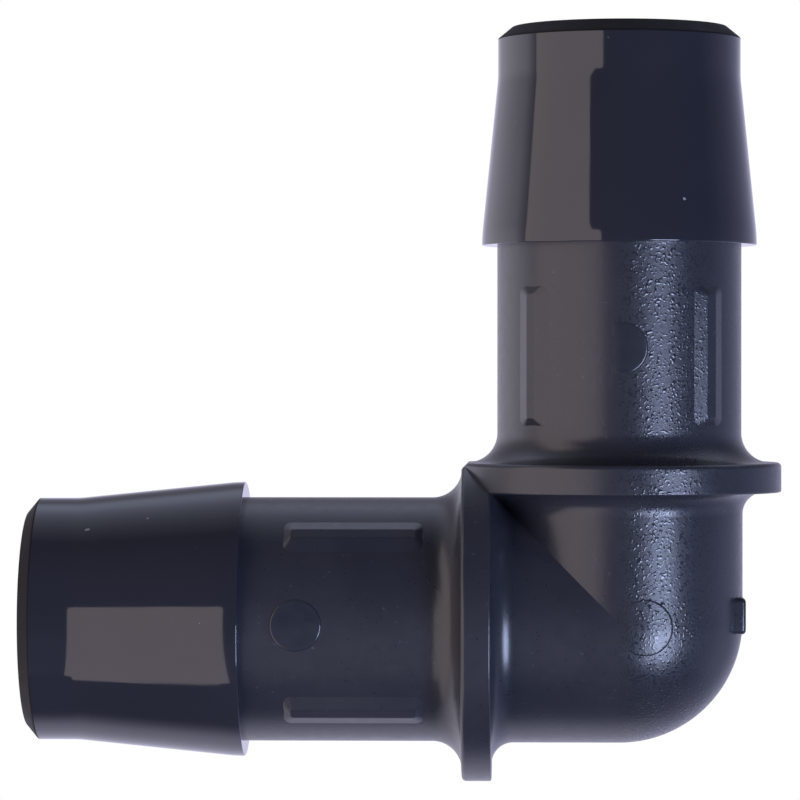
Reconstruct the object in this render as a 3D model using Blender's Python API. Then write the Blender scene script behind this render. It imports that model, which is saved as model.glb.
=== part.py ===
"""Right-angle barbed connector for 19 mm (3/4 inch) hose, for a watering line.

The real fitting is one moulding. It is modelled as seven regions that meet on flat
planes: the bend, and on each arm a collar, a neck and a barb. Nothing moves.

Metres, +Z up. The origin is where the two bore axes cross. The upright arm runs along
+Z and the side arm along -X. The side arm is the upright arm turned half a turn about
the diagonal between them, so each arm is drawn once, standing on the origin along +Z.
"""

import math

import bmesh
import bpy
from mathutils import Matrix, Vector

MM = 0.001

# Driving dimensions. Heights are measured along an arm from the crossing of the axes.
NECK_R = 9.5 * MM
BORE_R = 7.45 * MM
BEND_R = 9.6 * MM
COLLAR_R = 12.6 * MM
COLLAR_LOW = 9.95 * MM
COLLAR_HIGH = 12.25 * MM
SHOULDER_R = 10.7 * MM
SHOULDER_AT = 29.15 * MM
SWELL_R = 10.66 * MM
SWELL_AT = 30.2 * MM
LEAD_R = 9.44 * MM
LEAD_AT = 42.15 * MM
RIM_AT = 45.25 * MM
MOUTH_R = 8.35 * MM
MOUTH_AT = 46.15 * MM

NECK_FILLET = 2.3 * MM
BEND_FILLET = 1.7 * MM
SHOULDER_EDGE = 0.12 * MM
COLLAR_EDGE = 0.2 * MM

# Raised bars along the neck, on the four diagonals. Each has a narrow top and sloping sides.
RIB_LOW = 15.2 * MM
RIB_HIGH = 25.8 * MM
RIB_TOP_WIDTH = 0.86 * MM
RIB_RISE = 0.3 * MM
RIB_SIDE_SLOPE = 21
RIB_END_SLOPE = 30
RIB_ANGLES = (45, 135, 225, 315)
RIB_BITE = 0.6 * MM

# Round pads left by the ejector pins, on the front of each neck and of the bend.
PIN_R = 2.0 * MM
PIN_RISE = 0.08 * MM
PIN_ON_UPRIGHT = 21.1 * MM
PIN_ON_SIDE = 24.8 * MM
BEND_PIN_R = 2.2 * MM
BEND_PIN_AT = (1.72 * MM, -0.15 * MM)
PAD_SEGMENTS = 24

# The block left where the gate was cut off, on the outside of the bend.
GATE_FACE = 9.68 * MM
GATE_WIDTH = 8.0 * MM
GATE_HEIGHT = 2.8 * MM
GATE_AT = 0.45 * MM

SEGMENTS = 48
FILLET_STEPS = 5
MERGE = 1e-7
BITE = 1.0 * MM  # how far a raised feature reaches into the wall under it

SIDE_ARM = Matrix.Rotation(math.pi, 4, Vector((-1, 0, 1)))
UPRIGHT_ARM = Matrix.Identity(4)


def clear_scene():
    for old in list(bpy.data.objects):
        bpy.data.objects.remove(old, do_unlink=True)


def plastic(name, colour, roughness):
    material = bpy.data.materials.new(name)
    material.use_nodes = True
    shader = material.node_tree.nodes["Principled BSDF"]
    shader.inputs["Base Color"].default_value = (*colour, 1)
    shader.inputs["Roughness"].default_value = roughness
    shader.inputs["Metallic"].default_value = 0
    return material


def add_object(name, mesh_maker, material, matrix=UPRIGHT_ARM):
    """An object whose mesh is what mesh_maker leaves in an empty bmesh."""
    bm = bmesh.new()
    mesh_maker(bm)
    mesh = bpy.data.meshes.new(name)
    bm.to_mesh(mesh)
    bm.free()
    mesh.shade_smooth()
    mesh.set_sharp_from_angle(angle=math.radians(30))
    mesh.materials.append(material)
    piece = bpy.data.objects.new(name, mesh)
    bpy.context.scene.collection.objects.link(piece)
    piece.matrix_world = matrix
    return piece


def arc(centre, radius, start, end, steps):
    """Points of an arc in a profile's (radius, height) plane, from start to end degrees."""
    points = []
    for step in range(steps + 1):
        angle = math.radians(start + (end - start) * step / steps)
        points.append((centre[0] + radius * math.cos(angle), centre[1] + radius * math.sin(angle)))
    return points


def turn(bm, profile):
    """Revolves a closed profile, a list of (radius, height), about the Z axis."""
    rings = []
    for step in range(SEGMENTS):
        angle = 2 * math.pi * step / SEGMENTS
        ring = [bm.verts.new((r * math.cos(angle), r * math.sin(angle), z)) for r, z in profile]
        rings.append(ring)
    for step in range(SEGMENTS):
        here = rings[step]
        after = rings[(step + 1) % SEGMENTS]
        for low in range(len(profile)):
            high = (low + 1) % len(profile)
            bm.faces.new((here[low], after[low], after[high], here[high]))


def barb_profile():
    """The cone from the shoulder to the mouth, with the bore through it."""
    return [
        (BORE_R, SHOULDER_AT),
        (SHOULDER_R - SHOULDER_EDGE, SHOULDER_AT),
        (SHOULDER_R, SHOULDER_AT + SHOULDER_EDGE),
        (SWELL_R, SWELL_AT),
        (LEAD_R, LEAD_AT),
        (LEAD_R, RIM_AT),
        (MOUTH_R, MOUTH_AT),
        (BORE_R, MOUTH_AT),
    ]


def neck_fillet():
    """From the collar's outer face up to the neck."""
    centre = (NECK_R + NECK_FILLET, COLLAR_HIGH + NECK_FILLET)
    return arc(centre, NECK_FILLET, 270, 180, FILLET_STEPS)


def bend_fillet():
    """From the bend up to the collar's inner face."""
    centre = (BEND_R + BEND_FILLET, COLLAR_LOW - BEND_FILLET)
    return arc(centre, BEND_FILLET, 180, 90, FILLET_STEPS)


def collar_profile():
    """The collar keeps the last step of each fillet, so its flat faces end where they show."""
    below = bend_fillet()[-2:]
    above = neck_fillet()[:2]
    return [
        (BORE_R, below[0][1]),
        *below,
        (COLLAR_R - COLLAR_EDGE, COLLAR_LOW),
        (COLLAR_R, COLLAR_LOW + COLLAR_EDGE),
        (COLLAR_R, COLLAR_HIGH - COLLAR_EDGE),
        (COLLAR_R - COLLAR_EDGE, COLLAR_HIGH),
        *above,
        (BORE_R, above[1][1]),
    ]


def neck_profile():
    foot = neck_fillet()[1:]
    return [(BORE_R, foot[0][1]), *foot, (NECK_R, SHOULDER_AT), (BORE_R, SHOULDER_AT)]


def leg_profile():
    """One leg of the bend, from the crossing of the axes up to the collar."""
    flare = bend_fillet()[:-1]
    return [(BORE_R, 0), (BEND_R, 0), *flare, (BORE_R, flare[-1][1])]


def cut_on_mitre(bm, fill):
    """Keeps what is on the upright arm's side of the plane halfway between the arms."""
    geometry = [*bm.verts, *bm.edges, *bm.faces]
    cut = bmesh.ops.bisect_plane(
        bm, geom=geometry, dist=MERGE, plane_co=(0, 0, 0), plane_no=(1, 0, 1), clear_inner=True
    )
    if not fill:
        return
    edges = [e for e in cut["geom_cut"] if isinstance(e, bmesh.types.BMEdge)]
    bmesh.ops.triangle_fill(bm, use_beauty=True, use_dissolve=False, edges=edges)


def make_barb(bm):
    turn(bm, barb_profile())


def make_neck(bm):
    turn(bm, neck_profile())


def make_collar(bm):
    turn(bm, collar_profile())
    cut_on_mitre(bm, fill=True)
    bmesh.ops.recalc_face_normals(bm, faces=bm.faces)


def delete_faces_at(bm, height):
    """Removes the flat faces whose corners all lie at this height."""
    flat = [f for f in bm.faces if all(abs(v.co.z - height) < MERGE for v in f.verts)]
    bmesh.ops.delete(bm, geom=flat, context="FACES")


def add_lune(bm, radius):
    """A quarter of a sphere, which closes the outer corner between the two legs."""
    steps = SEGMENTS // 4
    rows = []
    for row in range(steps + 1):
        down = 0.5 * math.pi * row / steps
        points = []
        for column in range(2 * steps + 1):
            round_y = math.pi * (column / (2 * steps) - 0.5)
            reach = radius * math.cos(round_y)
            points.append((reach * math.cos(down), radius * math.sin(round_y), -reach * math.sin(down)))
        rows.append([bm.verts.new(p) for p in points])
    for upper, lower in zip(rows, rows[1:]):
        for column in range(2 * steps):
            corners = (upper[column], upper[column + 1], lower[column + 1], lower[column])
            bm.faces.new(corners)


def make_bend(bm):
    """Two mitred legs with a round outer corner, hollow throughout."""
    turn(bm, leg_profile())
    delete_faces_at(bm, 0)
    cut_on_mitre(bm, fill=False)
    other = bmesh.ops.duplicate(bm, geom=[*bm.verts, *bm.edges, *bm.faces])
    copied = [v for v in other["geom"] if isinstance(v, bmesh.types.BMVert)]
    bmesh.ops.transform(bm, matrix=SIDE_ARM, verts=copied)
    add_lune(bm, BEND_R)
    add_lune(bm, BORE_R)
    bmesh.ops.remove_doubles(bm, verts=bm.verts, dist=10 * MERGE)
    bmesh.ops.recalc_face_normals(bm, faces=bm.faces)


def run(rise, slope):
    """How far a side at this slope, in degrees, goes across while it rises this much."""
    return rise / math.tan(math.radians(slope))


def make_rib(bm):
    """A bar along +Z on the +X side, with sloping sides that start inside the wall."""
    half_width = RIB_TOP_WIDTH / 2
    half_length = (RIB_HIGH - RIB_LOW) / 2 - run(RIB_RISE, RIB_END_SLOPE)
    middle = (RIB_HIGH + RIB_LOW) / 2
    height = RIB_RISE + RIB_BITE
    base_width = half_width + run(height, RIB_SIDE_SLOPE)
    base_length = half_length + run(height, RIB_END_SLOPE)
    add_block(bm, NECK_R - RIB_BITE, base_width, base_length, NECK_R + RIB_RISE, half_width, half_length)
    bmesh.ops.translate(bm, vec=(0, 0, middle), verts=bm.verts)


def add_block(bm, inner_x, inner_half_y, inner_half_z, outer_x, outer_half_y, outer_half_z):
    """A block between two rectangles that face +X, each centred on the X axis."""
    rings = []
    for x, half_y, half_z in ((inner_x, inner_half_y, inner_half_z), (outer_x, outer_half_y, outer_half_z)):
        corners = ((half_y, half_z), (-half_y, half_z), (-half_y, -half_z), (half_y, -half_z))
        rings.append([bm.verts.new((x, y, z)) for y, z in corners])
    close_rings(bm, rings)


def close_rings(bm, rings):
    """Joins rings of vertices one to the next and closes both ends."""
    for lower, upper in zip(rings, rings[1:]):
        for here in range(len(lower)):
            after = (here + 1) % len(lower)
            bm.faces.new((lower[here], lower[after], upper[after], upper[here]))
    bm.faces.new(rings[0])
    bm.faces.new(rings[-1])
    bmesh.ops.recalc_face_normals(bm, faces=bm.faces)


def front(x, z, radius):
    """How far forward of the axes the fitting's front stands at (x, z), at this radius."""
    if x < 0 < z:
        across = min(-x, z)
    else:
        across = math.hypot(max(x, 0), min(z, 0))
    return math.sqrt(radius**2 - across**2)


def pad_maker(place, pad_r, wall_r):
    """Makes a mesh maker for a round pad facing -Y, whose face follows the wall under it."""

    def make(bm):
        levels = [(pad_r, -BITE)]
        levels += [(pad_r * share, PIN_RISE) for share in (1, 0.75, 0.5, 0.25)]
        rings = []
        for ring_r, rise in levels:
            ring = []
            for step in range(PAD_SEGMENTS):
                angle = 2 * math.pi * step / PAD_SEGMENTS
                x = place[0] + ring_r * math.cos(angle)
                z = place[1] + ring_r * math.sin(angle)
                ring.append(bm.verts.new((x, -front(x, z, wall_r + rise), z)))
            rings.append(ring)
        close_rings(bm, rings)
        bmesh.ops.triangulate(bm, faces=bm.faces)

    return make


def make_gate(bm):
    """The block whose outer face is the cut gate."""
    half_y = GATE_WIDTH / 2
    half_z = GATE_HEIGHT / 2
    add_block(bm, BEND_R - BITE, half_y, half_z, GATE_FACE, half_y, half_z)
    bmesh.ops.translate(bm, vec=(0, 0, GATE_AT), verts=bm.verts)


def join(piece, feature):
    """Joins a raised feature to a piece, and hides the feature's own object."""
    feature.hide_render = True
    feature.display_type = "WIRE"
    modifier = piece.modifiers.new(feature.name, "BOOLEAN")
    modifier.operation = "UNION"
    modifier.solver = "EXACT"
    modifier.object = feature


def add_ribs(neck, arm_name, arm, material):
    for number, degrees in enumerate(RIB_ANGLES, 1):
        matrix = arm @ Matrix.Rotation(math.radians(degrees), 4, "Z")
        rib = add_object(f"{arm_name}_rib_{number}", make_rib, material, matrix)
        join(neck, rib)


def add_pin_pad(piece, place, pad_r, wall_r, material):
    pad = add_object(f"{piece.name}_pin_pad", pad_maker(place, pad_r, wall_r), material)
    join(piece, pad)


def build_arm(arm_name, arm, pin_place, satin, gloss):
    neck = add_object(f"{arm_name}_neck", make_neck, satin, arm)
    add_ribs(neck, arm_name, arm, satin)
    add_pin_pad(neck, pin_place, PIN_R, NECK_R, satin)
    return [
        add_object(f"{arm_name}_collar", make_collar, satin, arm),
        neck,
        add_object(f"{arm_name}_barb", make_barb, gloss, arm),
    ]


def build_bend(satin):
    bend = add_object("elbow_bend", make_bend, satin)
    gate = add_object("gate_block", make_gate, satin)
    join(bend, gate)
    add_pin_pad(bend, BEND_PIN_AT, BEND_PIN_R, BEND_R, satin)
    return bend


def main():
    clear_scene()
    satin = plastic("satin_nylon", (0.030, 0.033, 0.050), 0.42)
    gloss = plastic("gloss_nylon", (0.026, 0.028, 0.044), 0.12)
    pieces = [build_bend(satin)]
    pieces += build_arm("upright", UPRIGHT_ARM, (0, PIN_ON_UPRIGHT), satin, gloss)
    pieces += build_arm("side", SIDE_ARM, (-PIN_ON_SIDE, 0), satin, gloss)
    fitting = bpy.data.objects.new("elbow_connector", None)
    bpy.context.scene.collection.objects.link(fitting)
    for piece in pieces:
        piece.parent = fitting


main()
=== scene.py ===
"""Looks of the right-angle barbed hose connector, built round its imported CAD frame.

Metres, +Z up, the frame of the CAD: the bore axes cross at the origin, the upright arm
runs along +Z and the side arm along -X. Each region of the moulding is drawn once,
standing on the origin along +Z, and the side arm's is turned into place.
"""

import math

import bmesh
import bpy
from mathutils import Matrix, Vector


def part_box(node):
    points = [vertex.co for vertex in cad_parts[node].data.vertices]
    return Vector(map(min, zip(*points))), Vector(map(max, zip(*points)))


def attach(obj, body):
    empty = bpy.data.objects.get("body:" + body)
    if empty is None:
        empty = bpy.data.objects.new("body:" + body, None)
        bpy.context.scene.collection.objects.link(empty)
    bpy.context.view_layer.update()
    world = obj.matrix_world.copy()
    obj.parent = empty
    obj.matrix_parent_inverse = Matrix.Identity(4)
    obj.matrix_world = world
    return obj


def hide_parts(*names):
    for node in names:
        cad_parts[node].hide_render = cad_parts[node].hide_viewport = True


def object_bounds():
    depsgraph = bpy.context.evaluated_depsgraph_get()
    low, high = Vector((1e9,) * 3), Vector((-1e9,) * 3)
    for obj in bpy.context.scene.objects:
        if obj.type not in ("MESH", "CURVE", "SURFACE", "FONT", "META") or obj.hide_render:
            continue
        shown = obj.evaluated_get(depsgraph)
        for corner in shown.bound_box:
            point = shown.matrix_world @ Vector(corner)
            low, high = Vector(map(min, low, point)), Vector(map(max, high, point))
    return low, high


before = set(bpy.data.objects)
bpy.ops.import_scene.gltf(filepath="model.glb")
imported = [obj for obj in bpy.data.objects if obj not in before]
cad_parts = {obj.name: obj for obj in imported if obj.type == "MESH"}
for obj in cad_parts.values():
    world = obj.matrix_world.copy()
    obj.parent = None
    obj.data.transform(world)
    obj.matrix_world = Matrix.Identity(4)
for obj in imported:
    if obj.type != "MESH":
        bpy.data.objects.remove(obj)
CAD_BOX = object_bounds()
MM = 0.001

# Read from the frame: heights along the upright arm, and radii about it.
BARB_LOW, BARB_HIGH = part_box("upright_barb")
_, COLLAR_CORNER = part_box("upright_collar")
SHOULDER_AT = BARB_LOW.z
MOUTH_AT = BARB_HIGH.z
SHOULDER_R = BARB_HIGH.x
COLLAR_R = COLLAR_CORNER.x

# The rest of the section. Only the swell differs from the CAD's: it is nearer to the shoulder.
NECK_R = 9.5 * MM
BORE_R = 7.45 * MM
BEND_R = 9.6 * MM
COLLAR_LOW = 9.95 * MM
COLLAR_HIGH = 12.25 * MM
SWELL_R = 10.685 * MM
SWELL_AT = 29.95 * MM
LEAD_R = 9.44 * MM
LEAD_AT = 42.15 * MM
RIM_AT = 45.25 * MM
MOUTH_R = 8.35 * MM
NECK_FILLET = 2.3 * MM
BEND_FILLET = 1.7 * MM

# Raised bars. The slopes and angles are in degrees.
RIB_LOW = 15.2 * MM
RIB_HIGH = 25.8 * MM
RIB_TOP_WIDTH = 0.86 * MM
RIB_RISE = 0.3 * MM
RIB_SIDE_SLOPE = 21
RIB_END_SLOPE = 30
RIB_ANGLES = (45, 135, 225, 315)
RIB_BITE = 0.6 * MM
RIB_CORNER = 0.25 * MM
RIB_CORNER_GROWTH = 0.45  # of the distance that a side has gone across below the top

# Ejector-pin pads. They stand PIN_RISE proud of the wall, but on the upright neck and on the
# bend their left sides sink just under it.
PIN_RISE = 0.11 * MM
UPRIGHT_PIN_LEFT = -0.05 * MM
BEND_PIN_LEFT = -0.01 * MM
PIN_R = 2.0 * MM
BEND_PIN_R = 2.2 * MM
UPRIGHT_PIN_AT = (0, 21.1 * MM)
SIDE_PIN_AT = (-24.8 * MM, 0)
BEND_PIN_AT = (1.72 * MM, -0.15 * MM)
PAD_RINGS = (0.12, 0.25, 0.4, 0.55, 0.7, 0.85, 0.95)  # from the rim in, as shares of its radius

# The gate block.
GATE_FACE = 9.68 * MM
GATE_WIDTH = 8.0 * MM
GATE_HEIGHT = 2.8 * MM
GATE_AT = 0.45 * MM

BITE = 1.0 * MM  # how far a pad or the gate block reaches into the wall under it

# Rounding. The CAD has only the shoulder's and the collar's, as chamfers.
SHOULDER_EDGE = 0.12 * MM
COLLAR_EDGE = 0.16 * MM
COLLAR_FAR_EDGE = 0.35 * MM
SWELL_EDGE = 14 * MM
LEAD_EDGE = 9 * MM
RIM_EDGE = 0.2 * MM
LIP_EDGE = 0.15 * MM
RIB_EDGE = 0.5 * MM
PIN_EDGE = 0.16 * MM
GATE_EDGE = 0.3 * MM
GATE_CORNER = 0.4 * MM
CORNER_CUT = 0.25 * MM  # off the edge where the two collars meet

# How finely the meshes are cut.
SEGMENTS = 192
PAD_SEGMENTS = 96
FILLET_STEPS = 20
SPLIT_STEP = 4  # the fillet step at which the collar ends, where the CAD's does
EDGE_STEPS = 9
SWELL_STEPS = 8
LEAD_STEPS = 6
RIB_CORNER_STEPS = 8
GATE_CORNER_STEPS = 6
LONGEST_RUN = 1.2 * MM  # of the barb's section without a vertex
SUPPORT = 0.3  # degrees from a region's end to its extra ring, so the shading runs on
SUPPORT_RUN = 0.03 * MM  # from a rounding's end to the extra ring that keeps what follows flat
SHARP_ANGLE = 12  # degrees
CREASE_END = 0.1 * MM  # from the crossing of the axes to where the bend's crease runs out
MERGE = 1e-7  # points nearer than this are one point
SEAM = 10 * MERGE  # and this near where two cut halves meet

UPRIGHT_ARM = Matrix.Identity(4)
SIDE_ARM = Matrix.Rotation(math.pi, 4, Vector((-1, 0, 1)))
OUTWARD = Matrix(((0, 0, 1, 0), (1, 0, 0, 0), (0, 1, 0, 0), (0, 0, 0, 1)))  # +Z becomes +X
ORIGIN = (0, 0, 0)
UPRIGHT_SIDE = (1, 0, 1)  # square to the mitre plane, towards the upright arm
OUTER_CORNER = (-1, 0, 1)  # from the origin towards the edge where the two collars meet


# ---- profiles ----


def arc(centre, radius, angles):
    """Points of an arc in a profile's (radius, height) plane, at these angles in degrees."""
    turns = [math.radians(angle) for angle in angles]
    return [(centre[0] + radius * math.cos(a), centre[1] + radius * math.sin(a)) for a in turns]


def spread(start, end, steps):
    """Evenly spaced numbers from start to end."""
    return [start + (end - start) * step / steps for step in range(steps + 1)]


def rounded(before, corner, after, radius, steps=EDGE_STEPS):
    """Points that round off a profile's corner, with one more just beyond each end."""
    corner = Vector(corner)
    one = (Vector(before) - corner).normalized()
    two = (Vector(after) - corner).normalized()
    half = one.angle(two) / 2
    reach = radius / math.tan(half)
    middle = corner + (one + two).normalized() * (radius / math.sin(half))
    first = (corner + one * reach - middle).normalized()
    last = (corner + two * reach - middle).normalized()
    turned = [middle + first.slerp(last, share) * radius for share in spread(0, 1, steps)]
    beyond = reach + SUPPORT_RUN
    points = [corner + one * beyond, *turned, corner + two * beyond]
    return [tuple(point) for point in points]


def subdivided(points, longest):
    """A closed profile's points with extra ones, so that no straight run is longer than this."""
    finer = []
    for here, after in zip(points, points[1:] + points[:1]):
        count = max(1, math.ceil((Vector(after) - Vector(here)).length / longest))
        finer += [tuple(Vector(here).lerp(Vector(after), step / count)) for step in range(count)]
    return finer


def neck_fillet_angles():
    return spread(270, 180, FILLET_STEPS)


def bend_fillet_angles():
    return spread(180, 90, FILLET_STEPS)


def barb_profile():
    """The cone from the shoulder to the mouth, with the bore through it."""
    inner = (BORE_R, SHOULDER_AT)
    shoulder = (SHOULDER_R, SHOULDER_AT)
    swell = (SWELL_R, SWELL_AT)
    lead = (LEAD_R, LEAD_AT)
    rim = (LEAD_R, RIM_AT)
    mouth = (MOUTH_R, MOUTH_AT)
    lip = (BORE_R, MOUTH_AT)
    points = [
        inner,
        *rounded(inner, shoulder, swell, SHOULDER_EDGE),
        *rounded(shoulder, swell, lead, SWELL_EDGE, SWELL_STEPS),
        *rounded(swell, lead, rim, LEAD_EDGE, LEAD_STEPS),
        *rounded(lead, rim, mouth, RIM_EDGE),
        *rounded(rim, mouth, lip, LIP_EDGE),
        *rounded(mouth, lip, inner, LIP_EDGE),
    ]
    return subdivided(points, LONGEST_RUN)


def neck_profile():
    """From inside the collar's fillet up to the shoulder."""
    angles = neck_fillet_angles()[SPLIT_STEP:]
    angles.insert(1, angles[0] - SUPPORT)
    foot = arc((NECK_R + NECK_FILLET, COLLAR_HIGH + NECK_FILLET), NECK_FILLET, angles)
    foot.append((NECK_R, foot[-1][1] + SUPPORT_RUN))
    return [(BORE_R, foot[0][1]), *foot, (NECK_R, SHOULDER_AT), (BORE_R, SHOULDER_AT)]


def collar_profile():
    """The disc, with the last part of each fillet."""
    lower_angles = bend_fillet_angles()[-SPLIT_STEP - 1 :]
    lower_angles.insert(1, lower_angles[0] - SUPPORT)
    below = arc((BEND_R + BEND_FILLET, COLLAR_LOW - BEND_FILLET), BEND_FILLET, lower_angles)
    upper_angles = neck_fillet_angles()[: SPLIT_STEP + 1]
    upper_angles.insert(-1, upper_angles[-1] + SUPPORT)
    above = arc((NECK_R + NECK_FILLET, COLLAR_HIGH + NECK_FILLET), NECK_FILLET, upper_angles)
    low_corner = (COLLAR_R, COLLAR_LOW)
    high_corner = (COLLAR_R, COLLAR_HIGH)
    return [
        (BORE_R, below[0][1]),
        *below,
        (below[-1][0] + SUPPORT_RUN, COLLAR_LOW),
        *rounded(below[-1], low_corner, high_corner, COLLAR_EDGE),
        *rounded(low_corner, high_corner, above[0], COLLAR_FAR_EDGE),
        (above[0][0] + SUPPORT_RUN, COLLAR_HIGH),
        *above,
        (BORE_R, above[-1][1]),
    ]


def leg_profile():
    """One leg of the bend, from the crossing of the axes up to the collar."""
    angles = bend_fillet_angles()[:-SPLIT_STEP]
    angles.insert(-1, angles[-1] + SUPPORT)
    flare = arc((BEND_R + BEND_FILLET, COLLAR_LOW - BEND_FILLET), BEND_FILLET, angles)
    start = (BEND_R, flare[0][1] - SUPPORT_RUN)
    return [(BORE_R, 0), (BEND_R, 0), start, *flare, (BORE_R, flare[-1][1])]


# ---- meshes of the regions ----


def everything(bm):
    """All of a bmesh, as its operators take it."""
    return [*bm.verts, *bm.edges, *bm.faces]


def turn(bm, profile):
    """Revolves a closed profile, a list of (radius, height), about the Z axis."""
    rings = []
    for step in range(SEGMENTS):
        angle = 2 * math.pi * step / SEGMENTS
        x, y = math.cos(angle), math.sin(angle)
        rings.append([bm.verts.new((r * x, r * y, z)) for r, z in profile])
    for step in range(SEGMENTS):
        here = rings[step]
        after = rings[(step + 1) % SEGMENTS]
        for low in range(len(profile)):
            high = (low + 1) % len(profile)
            bm.faces.new((here[low], after[low], after[high], here[high]))


def cut(bm, place, normal, **cleared):
    """Cuts on a plane, clears the side of it that is named and returns the cut's edges."""
    done = bmesh.ops.bisect_plane(
        bm, geom=everything(bm), dist=MERGE, plane_co=place, plane_no=normal, **cleared
    )
    return [e for e in done["geom_cut"] if isinstance(e, bmesh.types.BMEdge)]


def fill(bm, edges):
    """Closes the openings that a cut has left."""
    bmesh.ops.triangle_fill(bm, use_beauty=True, use_dissolve=False, edges=edges)


def make_barb(bm):
    """The barb; the faces from the rim to the bore take its second material."""
    turn(bm, barb_profile())
    for face in bm.faces:
        centre = face.calc_center_median()
        if centre.z > RIM_AT - RIM_EDGE / 2 and math.hypot(centre.x, centre.y) > BORE_R + MERGE:
            face.material_index = 1


def make_neck(bm):
    turn(bm, neck_profile())


def make_collar(bm):
    """The collar on its own side of the mitre, less the sharp edge where it meets the other."""
    turn(bm, collar_profile())
    fill(bm, cut(bm, ORIGIN, UPRIGHT_SIDE, clear_inner=True))
    corner = COLLAR_HIGH - CORNER_CUT
    fill(bm, cut(bm, (-corner, 0, corner), OUTER_CORNER, clear_outer=True))


def delete_faces_at(bm, height):
    """Removes the flat faces whose corners all lie at this height."""
    flat = [f for f in bm.faces if all(abs(v.co.z - height) < MERGE for v in f.verts)]
    bmesh.ops.delete(bm, geom=flat, context="FACES")


def add_lune(bm, radius):
    """A quarter of a sphere, which closes the outer corner between the two legs."""
    steps = SEGMENTS // 4
    rows = []
    for down in spread(0, math.pi / 2, steps):
        points = []
        for round_y in spread(-math.pi / 2, math.pi / 2, 2 * steps):
            reach = radius * math.cos(round_y)
            depth = -reach * math.sin(down)
            points.append((reach * math.cos(down), radius * math.sin(round_y), depth))
        rows.append([bm.verts.new(p) for p in points])
    for upper, lower in zip(rows, rows[1:]):
        for column in range(2 * steps):
            bm.faces.new((upper[column], upper[column + 1], lower[column + 1], lower[column]))


def make_bend(bm):
    """Two mitred legs with a round outer corner, hollow throughout."""
    turn(bm, leg_profile())
    delete_faces_at(bm, 0)
    cut(bm, ORIGIN, UPRIGHT_SIDE, clear_inner=True)
    other = bmesh.ops.duplicate(bm, geom=everything(bm))
    copied = [v for v in other["geom"] if isinstance(v, bmesh.types.BMVert)]
    bmesh.ops.transform(bm, matrix=SIDE_ARM, verts=copied)
    add_lune(bm, BEND_R)
    add_lune(bm, BORE_R)
    bmesh.ops.remove_doubles(bm, verts=bm.verts, dist=SEAM)


# ---- meshes of the raised features ----


def ring_outline(half_x, half_y, corner, steps):
    """(x, y) points round a rectangle with round corners."""
    points = []
    for quarter, (side_x, side_y) in enumerate(((1, 1), (-1, 1), (-1, -1), (1, -1))):
        centre = (side_x * (half_x - corner), side_y * (half_y - corner))
        points += arc(centre, corner, spread(90 * quarter, 90 * quarter + 90, steps))
    return points


def close_rings(bm, rings):
    """Joins rings of vertices one to the next and closes both ends."""
    for lower, upper in zip(rings, rings[1:]):
        for here in range(len(lower)):
            after = (here + 1) % len(lower)
            bm.faces.new((lower[here], lower[after], upper[after], upper[here]))
    bm.faces.new(rings[-1])
    bm.faces.new(rings[0][::-1])
    bmesh.ops.remove_doubles(bm, verts=bm.verts, dist=MERGE)


def stacked(bm, levels, steps):
    """A solid through levels, each (half_x, half_y, corner, height)."""
    rings = []
    for half_x, half_y, corner, height in levels:
        outline = ring_outline(half_x, half_y, corner, steps)
        rings.append([bm.verts.new((x, y, height)) for x, y in outline])
    close_rings(bm, rings)


def run(rise, slope):
    """How far a side at this slope, in degrees, goes across while it rises this much."""
    return rise / math.tan(math.radians(slope))


def make_rib(bm):
    """A bar along Y that rises along +Z from inside the wall to a narrow top."""
    top_x = RIB_TOP_WIDTH / 2
    top_y = (RIB_HIGH - RIB_LOW) / 2 - run(RIB_RISE, RIB_END_SLOPE)
    foot = (top_x + run(RIB_RISE + RIB_BITE, RIB_SIDE_SLOPE), -RIB_BITE)
    side = [foot, *rounded(foot, (top_x, RIB_RISE), (0, RIB_RISE), RIB_EDGE)]
    ratio = run(1, RIB_END_SLOPE) / run(1, RIB_SIDE_SLOPE)
    levels = []
    for half_x, height in side:
        beyond = half_x - top_x
        corner = RIB_CORNER + max(beyond, 0) * RIB_CORNER_GROWTH
        levels.append((half_x, top_y + beyond * ratio, corner, height))
    stacked(bm, levels, RIB_CORNER_STEPS)


def make_gate(bm):
    """The block where the gate was cut off, rising along +Z with rounded edges."""

    def level(inset, height):
        half_x, half_y = GATE_WIDTH / 2 - inset, GATE_HEIGHT / 2 - inset
        return half_x, half_y, GATE_CORNER - inset, height

    levels = [level(0, -BITE)]
    for angle in spread(0, math.pi / 2, EDGE_STEPS):
        levels.append(level(GATE_EDGE * (1 - math.cos(angle)), GATE_EDGE * (math.sin(angle) - 1)))
    levels.append(level(GATE_EDGE + SUPPORT_RUN, 0))
    stacked(bm, levels, GATE_CORNER_STEPS)


def front(x, z, radius):
    """How far forward of the axes the fitting's front stands at (x, z), at this radius."""
    if x < 0 < z:
        across = min(-x, z)
    else:
        across = math.hypot(max(x, 0), min(z, 0))
    return math.sqrt(radius**2 - across**2)


def pad_maker(place, pad_r, wall_r, left_rise):
    """Makes a mesh maker for a round pad facing -Y, whose face follows the wall under it.

    It stands PIN_RISE proud on its right and left_rise proud on its left.
    """

    def make(bm):
        levels = [(0, -BITE)]
        for angle in spread(0, math.pi / 2, EDGE_STEPS):
            levels.append((PIN_EDGE * (1 - math.cos(angle)), -PIN_EDGE * (1 - math.sin(angle))))
        levels.append((PIN_EDGE + SUPPORT_RUN, 0))
        levels += [(pad_r * share, 0) for share in PAD_RINGS]
        rings = []
        for inset, drop in levels:
            ring = []
            for x, z in arc(place, pad_r - inset, spread(0, 360, PAD_SEGMENTS)[:-1]):
                share = (x - place[0] + pad_r) / (2 * pad_r)
                rise = left_rise + (PIN_RISE - left_rise) * share + drop
                ring.append(bm.verts.new((x, -front(x, z, wall_r + rise), z)))
            rings.append(ring)
        close_rings(bm, rings)

    return make


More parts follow.
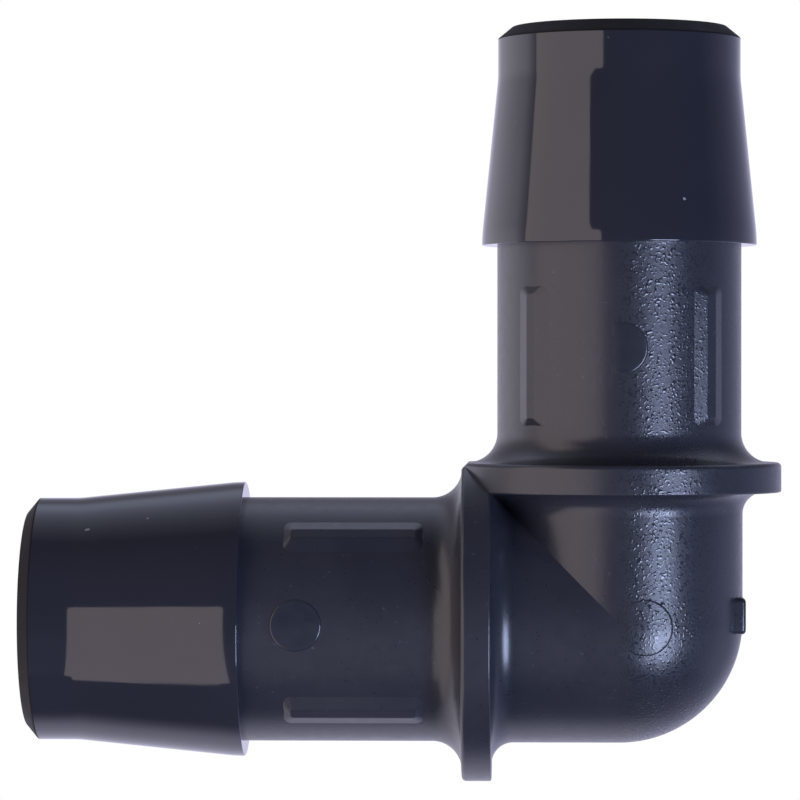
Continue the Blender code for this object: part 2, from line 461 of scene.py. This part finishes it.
# ---- objects ----


def mesh_of(bm, name):
    """A mesh of this name from a bmesh, which is freed."""
    mesh = bpy.data.meshes.new(name)
    bm.to_mesh(mesh)
    bm.free()
    return mesh


def linked(name, data):
    """A new object of this name in the scene."""
    thing = bpy.data.objects.new(name, data)
    bpy.context.scene.collection.objects.link(thing)
    return thing


def new_object(name, mesh_maker, material, matrix=UPRIGHT_ARM):
    """An object at the origin, its mesh made by mesh_maker and moved by matrix."""
    bm = bmesh.new()
    mesh_maker(bm)
    bmesh.ops.transform(bm, matrix=matrix, verts=bm.verts)
    bmesh.ops.recalc_face_normals(bm, faces=bm.faces)
    mesh = mesh_of(bm, name)
    mesh.materials.append(material)
    return linked(name, mesh)


def join(piece, features):
    """Joins features to a piece for good, each in its own material, and removes their objects."""
    for feature in features:
        modifier = piece.modifiers.new(feature.name, "BOOLEAN")
        modifier.operation = "UNION"
        modifier.solver = "EXACT"
        modifier.material_mode = "TRANSFER"
        modifier.object = feature
    graph = bpy.context.evaluated_depsgraph_get()
    mesh = bpy.data.meshes.new_from_object(piece.evaluated_get(graph))
    piece.modifiers.clear()
    piece.data = mesh
    for feature in features:
        bpy.data.objects.remove(feature, do_unlink=True)


def shade(piece):
    """Smooth shading, kept sharp where faces meet at more than SHARP_ANGLE."""
    piece.data.shade_smooth()
    piece.data.set_sharp_from_angle(angle=math.radians(SHARP_ANGLE))


def mark_crease(piece):
    """Keeps the line where the two legs of the bend meet sharp, down to where it runs out."""
    mesh = piece.data
    sharp = mesh.attributes.get("sharp_edge")
    sharp = sharp or mesh.attributes.new("sharp_edge", "BOOLEAN", "EDGE")
    for edge in mesh.edges:
        ends = [mesh.vertices[index].co for index in edge.vertices]
        if all(abs(co.x + co.z) < SEAM and co.x < -CREASE_END for co in ends):
            sharp.data[edge.index].value = True


# ---- pieces ----


def ribs(arm, material):
    """The raised bars of one neck."""
    middle = (RIB_HIGH + RIB_LOW) / 2
    made = []
    for number, degrees in enumerate(RIB_ANGLES, 1):
        turned = Matrix.Rotation(math.radians(degrees), 4, "Z")
        place = turned @ Matrix.Translation((NECK_R, 0, middle))
        made.append(new_object(f"rib_{number}", make_rib, material, arm @ place @ OUTWARD))
    return made


def add_piece(piece, node):
    """Puts a piece on the body, in the place of the CAD node that it stands for."""
    shade(piece)
    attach(piece, "root")
    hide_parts(node)


def build_arm(arm_name, arm, pin_place, pin_left, nylons):
    """One arm's barb, collar and neck. nylons are the satin, gloss, mouth and pin materials."""
    satin, gloss, mouth, pin = nylons
    barb = new_object(f"{arm_name}_barb_skin", make_barb, gloss, arm)
    barb.data.materials.append(mouth)
    add_piece(barb, f"{arm_name}_barb")
    collar = new_object(f"{arm_name}_collar_skin", make_collar, satin, arm)
    add_piece(collar, f"{arm_name}_collar")
    neck = new_object(f"{arm_name}_neck_skin", make_neck, satin, arm)
    pad = new_object("pin_pad", pad_maker(pin_place, PIN_R, NECK_R, pin_left), pin)
    join(neck, [*ribs(arm, satin), pad])
    add_piece(neck, f"{arm_name}_neck")


def build_bend(satin):
    """The bend, with its pad and with the gate block facing +X."""
    bend = new_object("elbow_bend_skin", make_bend, satin)
    pad = new_object("pin_pad", pad_maker(BEND_PIN_AT, BEND_PIN_R, BEND_R, BEND_PIN_LEFT), satin)
    place = Matrix.Translation((GATE_FACE, 0, GATE_AT)) @ OUTWARD
    join(bend, [new_object("gate", make_gate, satin, place), pad])
    add_piece(bend, "elbow_bend")
    mark_crease(bend)


# ---- materials ----

# Linear colours. Each nylon is mottled from its dark to its light.
SATIN_DARK = (0.0176, 0.0192, 0.0272, 1)
SATIN_LIGHT = (0.0216, 0.0232, 0.0312, 1)
SPECKS = (0.10, 0.105, 0.13, 1)
PIN_DARK = (0.0185, 0.0210, 0.0300, 1)
PIN_LIGHT = (0.0215, 0.0245, 0.0325, 1)
GLOSS_DARK = (0.0168, 0.0176, 0.0250, 1)
GLOSS_LIGHT = (0.0190, 0.0198, 0.0276, 1)
DUST = (0.30, 0.30, 0.33, 1)
# The mouth's colours are darker than the rest of the nylon: painted shade on the chamfer and the
# lip.
MOUTH_SHADED_DARK = (0.0070, 0.0066, 0.0080, 1)
MOUTH_SHADED_LIGHT = (0.0085, 0.0080, 0.0097, 1)

# Shares of the specks and of the dust in the colour.
SPECK_SHARE = 0.3
DUST_SHARE = 0.6

# Noises, each (waves to the metre, detail).
SATIN_CLOUDS = (170, 3.0)
SPECK_NOISE = (2600, 1.0)
DIMPLE_NOISE = (4900, 0.0)
WALL_NOISE = (1300, 2.0)
PATCH_NOISE = (330, 1.0)
FINE_GRAIN = (3000, 1.0)
PIN_NOISE = (900, 2.0)
GLOSS_CLOUDS = (120, 2.0)
DUST_NOISE = (2300, 0.0)
SMEARS = (260, 3.0)
WAVES = (150, 1.0)
MOUTH_NOISE = (1500, 2.0)

# Where a noise starts to tell and where it tells in full.
MOTTLING = (0.35, 0.65)
ROUGH_RANGE = (0.3, 0.7)
SPECK_RANGE = (0.72, 0.80)
DUST_RANGE = (0.885, 0.90)
PATCH_RANGE = (0.42, 0.60)
POLISH_RANGE = (0.56, 0.64)
PIT_RANGE = (0.56, 0.80)

# Roughness: the least and the most over each nylon, and what is added to it.
SATIN_ROUGH = (0.28, 0.33)
PIN_ROUGH = (0.19, 0.25)
GLOSS_ROUGH = (0.05, 0.09)
MOUTH_ROUGH = (0.50, 0.58)
DIMPLE_POLISH = -0.19
DUST_ROUGH = 0.4

NYLON_IOR = 1.53
MOUTH_IOR = 1.20

# Depths of the bumps, and how the sparked grain's is shared out.
SATIN_DEPTH = 0.0225 * MM
PIN_DEPTH = 0.008 * MM
WAVE_DEPTH = 0.02 * MM
MOUTH_DEPTH = 0.006 * MM
LEAST_PIT, DEEPEST_PIT = 0.35, 1.0
FINE_SHARE = 0.25

# Changes along X, each (from, to, value there, value there). The sparked grain gets coarse and
# then fine again, and the pad on the upright neck is rougher on its left.
COARSENS = (-0.6 * MM, 1.6 * MM, 0.06, 1.0)
REFINES = (3.8 * MM, 7.6 * MM, 1.0, 0.15)
RUB_STARTS = (-6 * MM, -4 * MM, 0.0, 1.0)
RUB_ENDS = (-1.2 * MM, 0.3 * MM, 0.08, 0.0)


class Nodes:
    """A short way to add nodes to a node tree and to link them."""

    def __init__(self, tree):
        self.tree = tree

    def add(self, kind, settings=None, **inputs):
        node = self.tree.nodes.new(kind)
        for key, value in (settings or {}).items():
            setattr(node, key, value)
        for key, value in inputs.items():
            self.put(node, key.replace("_", " "), value)
        return node

    def put(self, node, socket, value):
        """Links an output to the socket of this name or number, or sets its value."""
        target = node.inputs[socket]
        if isinstance(value, bpy.types.NodeSocket):
            self.tree.links.new(value, target)
        else:
            target.default_value = value

    def put_in_order(self, node, values):
        for number, value in enumerate(values):
            self.put(node, number, value)

    def noise(self, where, scale, detail):
        """Noise of this many waves to the metre."""
        node = self.add("ShaderNodeTexNoise", Vector=where, Scale=scale, Detail=detail)
        return node.outputs["Fac"]

    def split(self, vector):
        return self.add("ShaderNodeSeparateXYZ", Vector=vector).outputs

    def remap(self, value, low, high, to_low=0.0, to_high=1.0, smooth=False):
        """Takes low to to_low and high to to_high, and stays there beyond them."""
        kind = "SMOOTHSTEP" if smooth else "LINEAR"
        node = self.add("ShaderNodeMapRange", {"interpolation_type": kind})
        self.put_in_order(node, (value, low, high, to_low, to_high))
        return node.outputs["Result"]

    def mix(self, share, one, two):
        node = self.add("ShaderNodeMix", {"data_type": "RGBA"})
        for number, given in ((0, share), (6, one), (7, two)):
            self.put(node, number, given)
        return node.outputs[2]

    def math_node(self, operation, one, two):
        node = self.add("ShaderNodeMath", {"operation": operation})
        self.put_in_order(node, (one, two))
        return node.outputs[0]

    def sum(self, one, two):
        return self.math_node("ADD", one, two)

    def times(self, one, two):
        return self.math_node("MULTIPLY", one, two)

    def scaled(self, colour, factor):
        node = self.add("ShaderNodeVectorMath", {"operation": "SCALE"}, Scale=factor)
        self.put(node, 0, colour)
        return node.outputs[0]

    def bump(self, height, distance):
        node = self.add("ShaderNodeBump", Height=height, Distance=distance, Strength=1.0)
        return node.outputs["Normal"]

    def mottled(self, noise, dark, light):
        return self.mix(self.remap(noise, *MOTTLING), dark, light)


def new_material(name):
    """A material, its nodes, and the output that gives the place on the object, in metres."""
    material = bpy.data.materials.new(name)
    material.use_nodes = True
    nodes = Nodes(material.node_tree)
    where = nodes.add("ShaderNodeTexCoord").outputs["Object"]
    return material, nodes, where


def surfaced(material, nodes, colour, roughness, normal, ior=NYLON_IOR):
    """The material, with these on its shader."""
    shader = material.node_tree.nodes["Principled BSDF"]
    nodes.put(shader, "Base Color", colour)
    nodes.put(shader, "Roughness", roughness)
    nodes.put(shader, "Normal", normal)
    nodes.put(shader, "IOR", ior)
    return material


def satin_nylon():
    """Spark-eroded moulded nylon: near-black navy, a fine grain that glitters in a highlight."""
    material, nodes, where = new_material("satin_nylon")
    base = nodes.mottled(nodes.noise(where, *SATIN_CLOUDS), SATIN_DARK, SATIN_LIGHT)
    specks = nodes.remap(nodes.noise(where, *SPECK_NOISE), *SPECK_RANGE)
    colour = nodes.mix(nodes.times(specks, SPECK_SHARE), base, SPECKS)

    across = nodes.split(where)["X"]
    coarser = nodes.remap(across, *COARSENS, smooth=True)
    coarse = nodes.times(coarser, nodes.remap(across, *REFINES))
    dimples = nodes.noise(where, *DIMPLE_NOISE)
    polished = nodes.remap(dimples, *POLISH_RANGE)
    polish = nodes.times(polished, nodes.times(coarse, DIMPLE_POLISH))
    wall = nodes.remap(nodes.noise(where, *WALL_NOISE), *ROUGH_RANGE, *SATIN_ROUGH)
    roughness = nodes.sum(wall, polish)

    patches = nodes.noise(where, *PATCH_NOISE)
    depth = nodes.times(nodes.remap(patches, *PATCH_RANGE, LEAST_PIT, DEEPEST_PIT), coarse)
    pits = nodes.times(nodes.remap(dimples, *PIT_RANGE), depth)
    fine = nodes.times(nodes.noise(where, *FINE_GRAIN), FINE_SHARE)
    grain = nodes.bump(nodes.sum(pits, fine), SATIN_DEPTH)
    return surfaced(material, nodes, colour, roughness, grain)


def pin_nylon():
    """The face an ejector pin left: the same nylon, smoother than the sparked wall round it."""
    material, nodes, where = new_material("pin_nylon")
    turning = nodes.noise(where, *PIN_NOISE)
    colour = nodes.mottled(turning, PIN_DARK, PIN_LIGHT)
    across = nodes.split(where)["X"]
    starts = nodes.remap(across, *RUB_STARTS)
    rubbed = nodes.times(starts, nodes.remap(across, *RUB_ENDS, smooth=True))
    roughness = nodes.sum(nodes.remap(turning, *ROUGH_RANGE, *PIN_ROUGH), rubbed)
    return surfaced(material, nodes, colour, roughness, nodes.bump(turning, PIN_DEPTH))


def gloss_nylon():
    """Polished moulded nylon, with a slight waviness and a little dust."""
    material, nodes, where = new_material("gloss_nylon")
    base = nodes.mottled(nodes.noise(where, *GLOSS_CLOUDS), GLOSS_DARK, GLOSS_LIGHT)
    dust = nodes.remap(nodes.noise(where, *DUST_NOISE), *DUST_RANGE)
    colour = nodes.mix(nodes.times(dust, DUST_SHARE), base, DUST)
    clean = nodes.remap(nodes.noise(where, *SMEARS), *ROUGH_RANGE, *GLOSS_ROUGH)
    roughness = nodes.sum(clean, nodes.times(dust, DUST_ROUGH))
    waves = nodes.bump(nodes.noise(where, *WAVES), WAVE_DEPTH)
    return surfaced(material, nodes, colour, roughness, waves)


def mouth_nylon():
    """The chamfer and the flat lip of a mouth: the same nylon, dull from the tool, and coloured
    darker than elsewhere as painted shade.
    """
    material, nodes, where = new_material("mouth_nylon")
    grain = nodes.noise(where, *MOUTH_NOISE)
    colour = nodes.mottled(grain, MOUTH_SHADED_DARK, MOUTH_SHADED_LIGHT)
    roughness = nodes.remap(grain, *ROUGH_RANGE, *MOUTH_ROUGH)
    toolmarks = nodes.bump(grain, MOUTH_DEPTH)
    return surfaced(material, nodes, colour, roughness, toolmarks, MOUTH_IOR)


# ---- stage ----

# SUBJECT is the point that the camera and the panels face.
SUBJECT = Vector((-17.1, 0, 17.1)) * MM
CAMERA_AT = Vector((-7.4, -330, 18.7)) * MM
LENS_MM = 190.2
SENSOR_MM = 36.0
CLIP_START = 0.01
CLIP_END = 20
FLOOR_HALF = 4.0
WHITE = (1, 1, 1, 1)

# Panels: name, azimuth, elevation, width, height (degrees from the subject), strength, colour.
PANEL_DISTANCE = 1.2
PANELS = (
    ("low_fill", 25, -30, 66, 50, 0.07, (0.70, 0.85, 1.15)),
    ("right_fill", 88, -18.5, 60, 30, 0.26, (0.70, 0.80, 1.15)),
    ("right_key", 39, -18.5, 23, 30, 17.8, (0.60, 0.70, 1.05)),
)

# Cards: flat outlines in millimetres, (x, z) in front and (y, z) on the left. The polished barb
# mirrors the slanted and stepped right edge of the front one.
CARD_STRENGTH = 1.65
CARD_COLOUR = (1.0, 0.86, 0.855, 1)
FRONT_CARD_Y = -500
FRONT_CARD = (
    (-600, -790),
    (-285, -790),
    (-239, -680),
    (-150, -640),
    (-144, -30),
    (-144, 92),
    (-150, 110),
    (-171, 117),
    (-200, 113),
    (-222, 122),
    (-240, 152),
    (-260, 177),
    (-280, 205),
    (-320, 300),
    (-600, 300),
)
LEFT_CARD_X = -600
LEFT_CARD = ((-500, -900), (-42, -900), (-42, 900), (-500, 900))

# The room round the object. The wall's colour goes from left to right, the dark's upwards.
WALL_LEFT = (0.90, 0.86, 1.0, 1)
WALL_RIGHT = (0.85, 0.87, 1.28, 1)
DARK_LOW = (0.045, 0.048, 0.056, 1)
DARK_HIGH = (0.058, 0.060, 0.072, 1)
CEILING = (0.90, 0.98, 1.28)

# How the room changes with the direction it is seen in. Each is (from, to) along one part of
# that direction, and then the values there, if they aren't 0 and 1.
WALL_HUE = (-0.8, 0.8)  # across
WALL_FAR_LEFT = (-0.7, -0.2, 0.30, 0.0)  # across: how much further forward the wall comes
WALL_BEHIND = (0.10, 0.52)  # back
WALL_BESIDE = (-0.17, 0.90)  # back, on the right
RIGHT_HAND = (0.10, 0.60)  # across
WALL_FADE = (0.02, 0.42, 1.0, 0.28)  # up
WALL_BRIGHT_LEFT = (-0.9, -0.5, 1.55, 0.95)  # across
WALL_BRIGHT_RIGHT = (0.1, 0.6, 1.0, 0.70)  # across
DARK_RISE = (0.20, 0.70)  # up
CEILING_BRIGHT = (-0.17, 0.75, 0.055, 1.02)  # back
CEILING_EDGE = (0.50, 0.78)  # up


def direction(azimuth, elevation):
    """A unit vector: azimuth 0 is towards the camera, +90 towards +X; elevation is upwards."""
    a = math.radians(azimuth)
    e = math.radians(elevation)
    return Vector((math.sin(a) * math.cos(e), -math.cos(a) * math.cos(e), math.sin(e)))


def add_panel(name, azimuth, elevation, width, height, strength, colour):
    """A rectangular soft light that faces the subject. Its angles and spans are in degrees."""
    light = bpy.data.lights.new(name, "AREA")
    light.shape = "RECTANGLE"
    light.size = 2 * PANEL_DISTANCE * math.tan(math.radians(width / 2))
    light.size_y = 2 * PANEL_DISTANCE * math.tan(math.radians(height / 2))
    light.energy = strength * light.size * light.size_y * math.pi
    light.color = colour
    lamp = linked(name, light)
    away = direction(azimuth, elevation)
    lamp.location = SUBJECT + away * PANEL_DISTANCE
    lamp.rotation_mode = "QUATERNION"
    lamp.rotation_quaternion = away.to_track_quat("Z", "Y")
    lamp.visible_camera = False


def glowing(name, bm, material_name, strength, colour):
    """A flat object that gives off an even light."""
    mesh = mesh_of(bm, name)
    sheet = linked(name, mesh)
    material = bpy.data.materials.new(material_name)
    material.use_nodes = True
    material.node_tree.nodes.clear()
    nodes = Nodes(material.node_tree)
    glow = nodes.add("ShaderNodeEmission", Color=colour, Strength=strength)
    nodes.add("ShaderNodeOutputMaterial", Surface=glow.outputs[0])
    mesh.materials.append(material)
    return sheet


def add_card(name, corners):
    """A card, its corners (x, y, z) in millimetres. The camera doesn't see it."""
    bm = bmesh.new()
    bm.faces.new([bm.verts.new(Vector(corner) * MM) for corner in corners])
    bmesh.ops.triangulate(bm, faces=bm.faces)
    card = glowing(name, bm, name, CARD_STRENGTH, CARD_COLOUR)
    card.visible_camera = False


def add_floor():
    """A plain white floor under the lowest point."""
    bm = bmesh.new()
    bmesh.ops.create_grid(bm, x_segments=1, y_segments=1, size=FLOOR_HALF)
    floor = glowing("floor", bm, "white_floor", 1.0, WHITE)
    floor.location.z = CAD_BOX[0].z
    floor.visible_glossy = False
    floor.visible_diffuse = False
    floor.visible_shadow = False


def room_colour(nodes, across, back, up):
    """What the object sees: a white wall behind it in a dark room, and a ceiling.

    across, back and up are the parts of a direction along X, Y and Z.
    """
    nearer = nodes.sum(back, nodes.remap(across, *WALL_FAR_LEFT))
    behind = nodes.remap(nearer, *WALL_BEHIND, smooth=True)
    beside = nodes.remap(back, *WALL_BESIDE)
    right_hand = nodes.remap(across, *RIGHT_HAND, smooth=True)
    share = nodes.remap(right_hand, 0.0, 1.0, behind, beside)
    wall = nodes.times(share, nodes.remap(up, *WALL_FADE, smooth=True))

    hue = nodes.mix(nodes.remap(across, *WALL_HUE), WALL_LEFT, WALL_RIGHT)
    left = nodes.remap(across, *WALL_BRIGHT_LEFT)
    right = nodes.remap(across, *WALL_BRIGHT_RIGHT)
    bright_wall = nodes.scaled(hue, nodes.times(left, right))
    dark = nodes.mix(nodes.remap(up, *DARK_RISE, smooth=True), DARK_LOW, DARK_HIGH)
    low_room = nodes.mix(wall, dark, bright_wall)

    ceiling = nodes.scaled(CEILING, nodes.remap(back, *CEILING_BRIGHT))
    return nodes.mix(nodes.remap(up, *CEILING_EDGE, smooth=True), low_room, ceiling)


def add_world():
    """White to the camera, and the room to everything else."""
    world = bpy.data.worlds.new("studio")
    bpy.context.scene.world = world
    world.use_nodes = True
    world.node_tree.nodes.clear()
    nodes = Nodes(world.node_tree)
    where = nodes.add("ShaderNodeTexCoord").outputs["Generated"]
    room = room_colour(nodes, *nodes.split(where))
    lit = nodes.add("ShaderNodeBackground", Color=room, Strength=1.0)
    seen = nodes.add("ShaderNodeBackground", Color=WHITE, Strength=1.0)
    rays = nodes.add("ShaderNodeLightPath")
    choice = nodes.add("ShaderNodeMixShader")
    nodes.put_in_order(choice, (rays.outputs["Is Camera Ray"], lit.outputs[0], seen.outputs[0]))
    nodes.add("ShaderNodeOutputWorld", Surface=choice.outputs[0])


def add_lights():
    add_card("front_card", [(x, FRONT_CARD_Y, z) for x, z in FRONT_CARD])
    add_card("left_card", [(LEFT_CARD_X, y, z) for y, z in LEFT_CARD])
    for panel in PANELS:
        add_panel(*panel)


def add_camera():
    camera = bpy.data.cameras.new("camera")
    camera.lens = LENS_MM
    camera.sensor_width = SENSOR_MM
    camera.clip_start = CLIP_START
    camera.clip_end = CLIP_END
    seat = linked("camera", camera)
    seat.location = CAMERA_AT
    seat.rotation_mode = "QUATERNION"
    seat.rotation_quaternion = (SUBJECT - CAMERA_AT).to_track_quat("-Z", "Y")
    bpy.context.scene.camera = seat


def main():
    satin = satin_nylon()
    gloss = gloss_nylon()
    mouth = mouth_nylon()
    pin = pin_nylon()
    build_bend(satin)
    nylons = (satin, gloss, mouth, pin)
    build_arm("upright", UPRIGHT_ARM, UPRIGHT_PIN_AT, UPRIGHT_PIN_LEFT, nylons)
    build_arm("side", SIDE_ARM, SIDE_PIN_AT, PIN_RISE, nylons)
    add_world()
    add_floor()
    add_lights()
    add_camera()
    bpy.context.scene.view_settings.view_transform = "Standard"


main()
